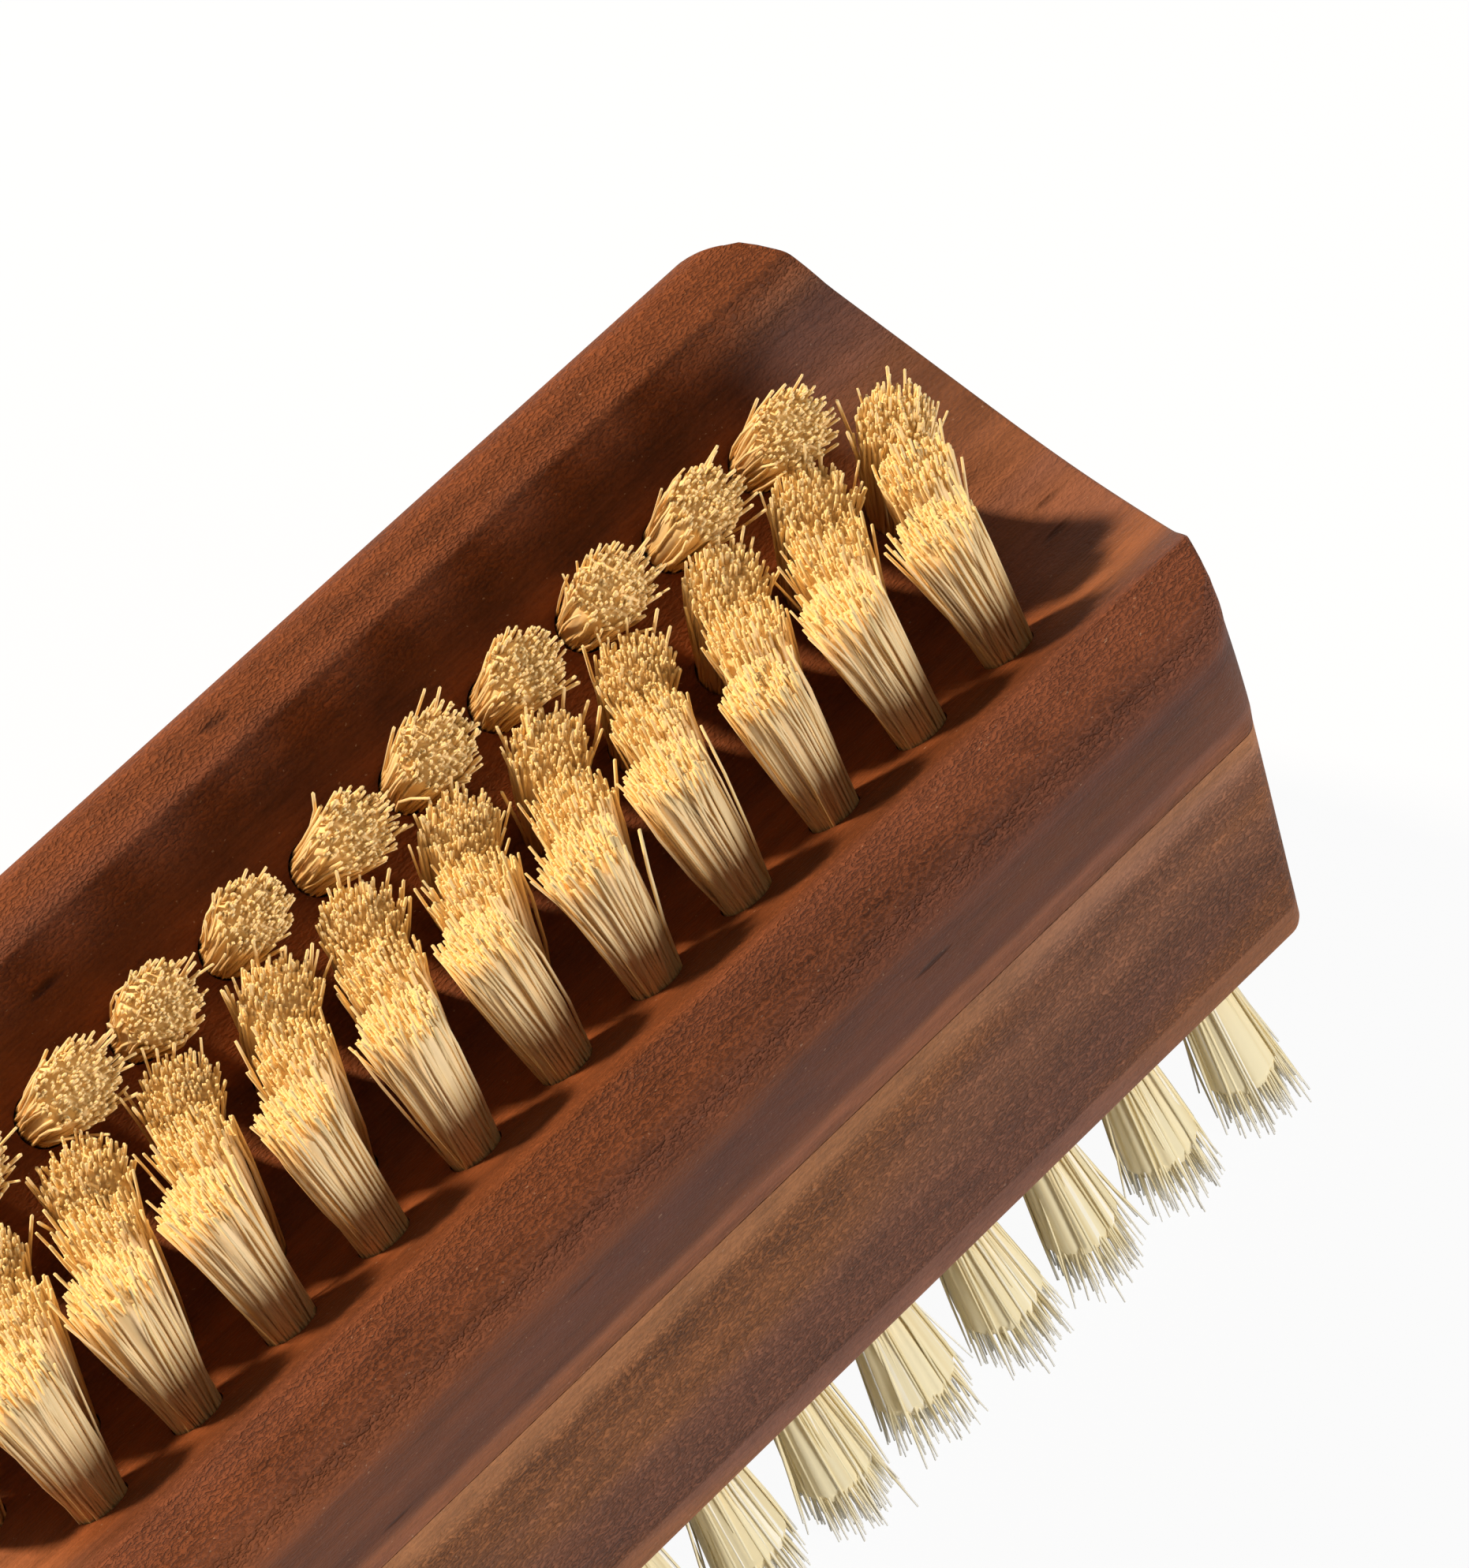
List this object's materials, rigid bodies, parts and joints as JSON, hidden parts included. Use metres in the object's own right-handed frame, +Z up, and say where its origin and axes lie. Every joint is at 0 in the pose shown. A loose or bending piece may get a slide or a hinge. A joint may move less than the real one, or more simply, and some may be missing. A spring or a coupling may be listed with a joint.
{
  "type": "hand brush",
  "caption": "Two-sided wooden hand brush: inward-leaning tufts in a dished trough on top, splayed tufts under a flared block.",
  "frame": {"origin": "on the ground under the middle of the brush, at the tips of the lower bristles", "axes": "+X along the brush, +Y across it, +Z up out of the trough"},
  "size_m": [0.0918, 0.045, 0.0479],
  "materials": {
    "upper_wood": "oiled satin",
    "lower_wood": "oiled matte",
    "golden_bristle": "natural bristle, golden",
    "cream_bristle": "natural bristle, pale",
    "wire": "drawn wire"
  },
  "bodies": {
    "root": {"upper_board": "upper_wood", "lower_board": "lower_wood", "upper_far_outer_bristles": "golden_bristle", "upper_far_inner_bristles": "golden_bristle", "upper_near_inner_bristles": "golden_bristle", "upper_near_outer_bristles": "golden_bristle", "lower_far_outer_bristles": "cream_bristle", "lower_far_middle_bristles": "cream_bristle", "lower_centre_bristles": "cream_bristle", "lower_near_middle_bristles": "cream_bristle", "lower_near_outer_bristles": "cream_bristle", "upper_far_outer_draw_wire": "wire", "upper_far_inner_draw_wire": "wire", "upper_near_inner_draw_wire": "wire", "upper_near_outer_draw_wire": "wire", "lower_far_outer_draw_wire": "wire", "lower_far_middle_draw_wire": "wire", "lower_centre_draw_wire": "wire", "lower_near_middle_draw_wire": "wire", "lower_near_outer_draw_wire": "wire"}
  },
  "joints": []
}
